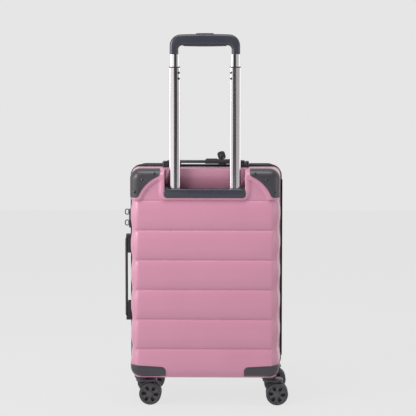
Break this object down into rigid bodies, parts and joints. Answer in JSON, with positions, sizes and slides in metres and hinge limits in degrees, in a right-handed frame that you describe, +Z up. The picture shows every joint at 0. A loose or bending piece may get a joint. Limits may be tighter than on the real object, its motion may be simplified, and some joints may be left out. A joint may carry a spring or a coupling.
{
  "type": "wheeled suitcase",
  "caption": "Cabin-size hard shell suitcase with ribbed shells that open like a book, a telescopic pull handle, carry handles, zip, combination lock, corner guards and casters.",
  "frame": {"origin": "on the floor under the middle of the case", "axes": "+Z up, -Y towards the rear face with the pull handle, +X towards the hinge side"},
  "size_m": [0.377, 0.231, 0.8375],
  "materials": {
    "shell_pink": "satin moulded polycarbonate with a fine grain",
    "trim_grey": "semi-matte moulded plastic",
    "rim_black": "matte",
    "zip_teeth": "matte nylon coil",
    "tube_gunmetal": "anodised",
    "tube_silver": "anodised",
    "grip_black": "semi-matte",
    "screw_steel": "dark zinc",
    "lining": "woven polyester",
    "webbing": "woven webbing",
    "buckle": "matte",
    "strap_rubber": "soft-touch",
    "tag_leather": "smooth",
    "zip_chrome": "polished",
    "lock_black": "matte",
    "dial": "matte",
    "wheel_rubber": "matte polyurethane on a moulded hub",
    "hinge_fabric": "woven"
  },
  "bodies": {
    "rear_case": {"rear_shell": "shell_pink", "rear_rim": "rim_black", "rear_zip_teeth": "zip_teeth", "corner_guard_rear_left": "trim_grey", "corner_guard_rear_right": "trim_grey", "rear_screws": "screw_steel", "wheel_housing_rear_left": "trim_grey", "wheel_housing_rear_right": "trim_grey", "handle_tray": "grip_black", "outer_tube_left": "tube_gunmetal", "outer_tube_right": "tube_gunmetal", "tube_foot_bracket": "grip_black", "lock_body": "lock_black", "top_handle_brackets": "strap_rubber", "side_handle_brackets": "strap_rubber", "rear_lining": "lining", "packing_straps": "webbing", "strap_buckle": "buckle", "hinge_strip": "hinge_fabric"},
    "middle_stage": {"middle_tube_left": "tube_gunmetal", "middle_tube_right": "tube_gunmetal", "middle_collars": "grip_black"},
    "upper_stage": {"inner_tube_left": "tube_silver", "inner_tube_right": "tube_silver", "grip_shell": "grip_black", "grip_underside": "grip_black"},
    "release_button": {"release_button": "grip_black"},
    "top_handle": {"top_handle_strap": "strap_rubber", "tag_loop": "tag_leather"},
    "luggage_tag": {"tag_strap": "tag_leather"},
    "side_handle": {"side_handle_strap": "strap_rubber"},
    "zip_slider_upper": {"zip_slider_upper": "zip_chrome"},
    "zip_slider_lower": {"zip_slider_lower": "zip_chrome"},
    "zip_puller_upper": {"zip_puller_upper": "zip_chrome"},
    "zip_puller_lower": {"zip_puller_lower": "zip_chrome"},
    "lock_button": {"lock_button": "lock_black"},
    "lock_dial_1": {"lock_dial_1": "dial"},
    "lock_dial_2": {"lock_dial_2": "dial"},
    "lock_dial_3": {"lock_dial_3": "dial"},
    "front_case": {"front_shell": "shell_pink", "front_rim": "rim_black", "front_zip_teeth": "zip_teeth", "wheel_housing_front_left": "trim_grey", "wheel_housing_front_right": "trim_grey", "corner_guard_front_left": "trim_grey", "corner_guard_front_right": "trim_grey", "guard_screws_front": "screw_steel", "front_lining": "lining"},
    "caster_rear_left": {"caster_fork_rear_left": "trim_grey"},
    "wheel_rear_left_outer": {"wheel_rear_left_outer": "wheel_rubber"},
    "wheel_rear_left_inner": {"wheel_rear_left_inner": "wheel_rubber"},
    "caster_rear_right": {"caster_fork_rear_right": "trim_grey"},
    "wheel_rear_right_outer": {"wheel_rear_right_outer": "wheel_rubber"},
    "wheel_rear_right_inner": {"wheel_rear_right_inner": "wheel_rubber"},
    "caster_front_left": {"caster_fork_front_left": "trim_grey"},
    "wheel_front_left_outer": {"wheel_front_left_outer": "wheel_rubber"},
    "wheel_front_left_inner": {"wheel_front_left_inner": "wheel_rubber"},
    "caster_front_right": {"caster_fork_front_right": "trim_grey"},
    "wheel_front_right_outer": {"wheel_front_right_outer": "wheel_rubber"},
    "wheel_front_right_inner": {"wheel_front_right_inner": "wheel_rubber"}
  },
  "joints": [
    {"name": "middle_stage_slide", "type": "slide", "parent": "rear_case", "child": "middle_stage", "axis": [0, 0, 1], "range_m": [-0.268, 0]},
    {"name": "upper_stage_slide", "type": "slide", "parent": "middle_stage", "child": "upper_stage", "axis": [0, 0, 1], "range_m": [-0.0265, 0.19]},
    {"name": "release_button_press", "type": "slide", "parent": "upper_stage", "child": "release_button", "axis": [0, 0, -1], "range_m": [0, 0.0035], "stiffness_N_per_m": 300, "springref_m": -0.001},
    {"name": "top_handle_lift", "type": "slide", "parent": "rear_case", "child": "top_handle", "axis": [0, 0, 1], "range_m": [0, 0.008]},
    {"name": "tag_swing", "type": "hinge", "parent": "top_handle", "child": "luggage_tag", "pos_m": [0.038, -0.009, 0.5547], "axis": [1, 0, 0], "range_deg": [-75, 75]},
    {"name": "side_handle_lift", "type": "slide", "parent": "rear_case", "child": "side_handle", "axis": [-0.9979, -0.0641, 0], "range_m": [0, 0.008], "stiffness_N_per_m": 150, "springref_m": -0.002},
    {"name": "zip_slider_upper_run", "type": "slide", "parent": "rear_case", "child": "zip_slider_upper", "axis": [0, 0, 1], "range_m": [0, 0.066]},
    {"name": "zip_slider_lower_run", "type": "slide", "parent": "rear_case", "child": "zip_slider_lower", "axis": [0, 0, 1], "range_m": [-0.29, 0]},
    {"name": "zip_puller_upper_swing", "type": "hinge", "parent": "zip_slider_upper", "child": "zip_puller_upper", "pos_m": [-0.1799, 0.019, 0.4287], "axis": [0, 1, 0], "range_deg": [-60, 60]},
    {"name": "zip_puller_lower_swing", "type": "hinge", "parent": "zip_slider_lower", "child": "zip_puller_lower", "pos_m": [-0.1799, 0.019, 0.4033], "axis": [0, 1, 0], "range_deg": [-60, 60]},
    {"name": "lock_button_press", "type": "slide", "parent": "rear_case", "child": "lock_button", "axis": [1, 0, 0], "range_m": [0, 0.0012], "stiffness_N_per_m": 300, "springref_m": -0.001},
    {"name": "lock_dial_1_turn", "type": "hinge", "parent": "rear_case", "child": "lock_dial_1", "pos_m": [-0.1708, -0.0025, 0.411], "axis": [0, 0, 1], "continuous": true},
    {"name": "lock_dial_2_turn", "type": "hinge", "parent": "rear_case", "child": "lock_dial_2", "pos_m": [-0.1708, -0.0025, 0.417], "axis": [0, 0, 1], "continuous": true},
    {"name": "lock_dial_3_turn", "type": "hinge", "parent": "rear_case", "child": "lock_dial_3", "pos_m": [-0.1708, -0.0025, 0.423], "axis": [0, 0, 1], "continuous": true},
    {"name": "front_case_hinge", "type": "hinge", "parent": "rear_case", "child": "front_case", "pos_m": [0.177, 0.019, 0.3], "axis": [0, 0, -1], "range_deg": [0, 180], "deforming": ["hinge_strip"]},
    {"name": "caster_rear_left_swivel", "type": "hinge", "parent": "rear_case", "child": "caster_rear_left", "pos_m": [-0.1437, -0.077, 0.06], "axis": [0, 0, 1], "continuous": true},
    {"name": "wheel_rear_left_outer_spin", "type": "hinge", "parent": "caster_rear_left", "child": "wheel_rear_left_outer", "pos_m": [-0.1245, -0.077, 0.025], "axis": [0, 1, 0], "continuous": true},
    {"name": "wheel_rear_left_inner_spin", "type": "hinge", "parent": "caster_rear_left", "child": "wheel_rear_left_inner", "pos_m": [-0.1245, -0.077, 0.025], "axis": [0, 1, 0], "continuous": true},
    {"name": "caster_rear_right_swivel", "type": "hinge", "parent": "rear_case", "child": "caster_rear_right", "pos_m": [0.1437, -0.077, 0.06], "axis": [0, 0, 1], "continuous": true},
    {"name": "wheel_rear_right_outer_spin", "type": "hinge", "parent": "caster_rear_right", "child": "wheel_rear_right_outer", "pos_m": [0.1629, -0.077, 0.025], "axis": [0, 1, 0], "continuous": true},
    {"name": "wheel_rear_right_inner_spin", "type": "hinge", "parent": "caster_rear_right", "child": "wheel_rear_right_inner", "pos_m": [0.1629, -0.077, 0.025], "axis": [0, 1, 0], "continuous": true},
    {"name": "caster_front_left_swivel", "type": "hinge", "parent": "front_case", "child": "caster_front_left", "pos_m": [-0.1437, 0.077, 0.06], "axis": [0, 0, 1], "continuous": true},
    {"name": "wheel_front_left_outer_spin", "type": "hinge", "parent": "caster_front_left", "child": "wheel_front_left_outer", "pos_m": [-0.1245, 0.077, 0.025], "axis": [0, 1, 0], "continuous": true},
    {"name": "wheel_front_left_inner_spin", "type": "hinge", "parent": "caster_front_left", "child": "wheel_front_left_inner", "pos_m": [-0.1245, 0.077, 0.025], "axis": [0, 1, 0], "continuous": true},
    {"name": "caster_front_right_swivel", "type": "hinge", "parent": "front_case", "child": "caster_front_right", "pos_m": [0.1437, 0.077, 0.06], "axis": [0, 0, 1], "continuous": true},
    {"name": "wheel_front_right_outer_spin", "type": "hinge", "parent": "caster_front_right", "child": "wheel_front_right_outer", "pos_m": [0.1629, 0.077, 0.025], "axis": [0, 1, 0], "continuous": true},
    {"name": "wheel_front_right_inner_spin", "type": "hinge", "parent": "caster_front_right", "child": "wheel_front_right_inner", "pos_m": [0.1629, 0.077, 0.025], "axis": [0, 1, 0], "continuous": true}
  ]
}
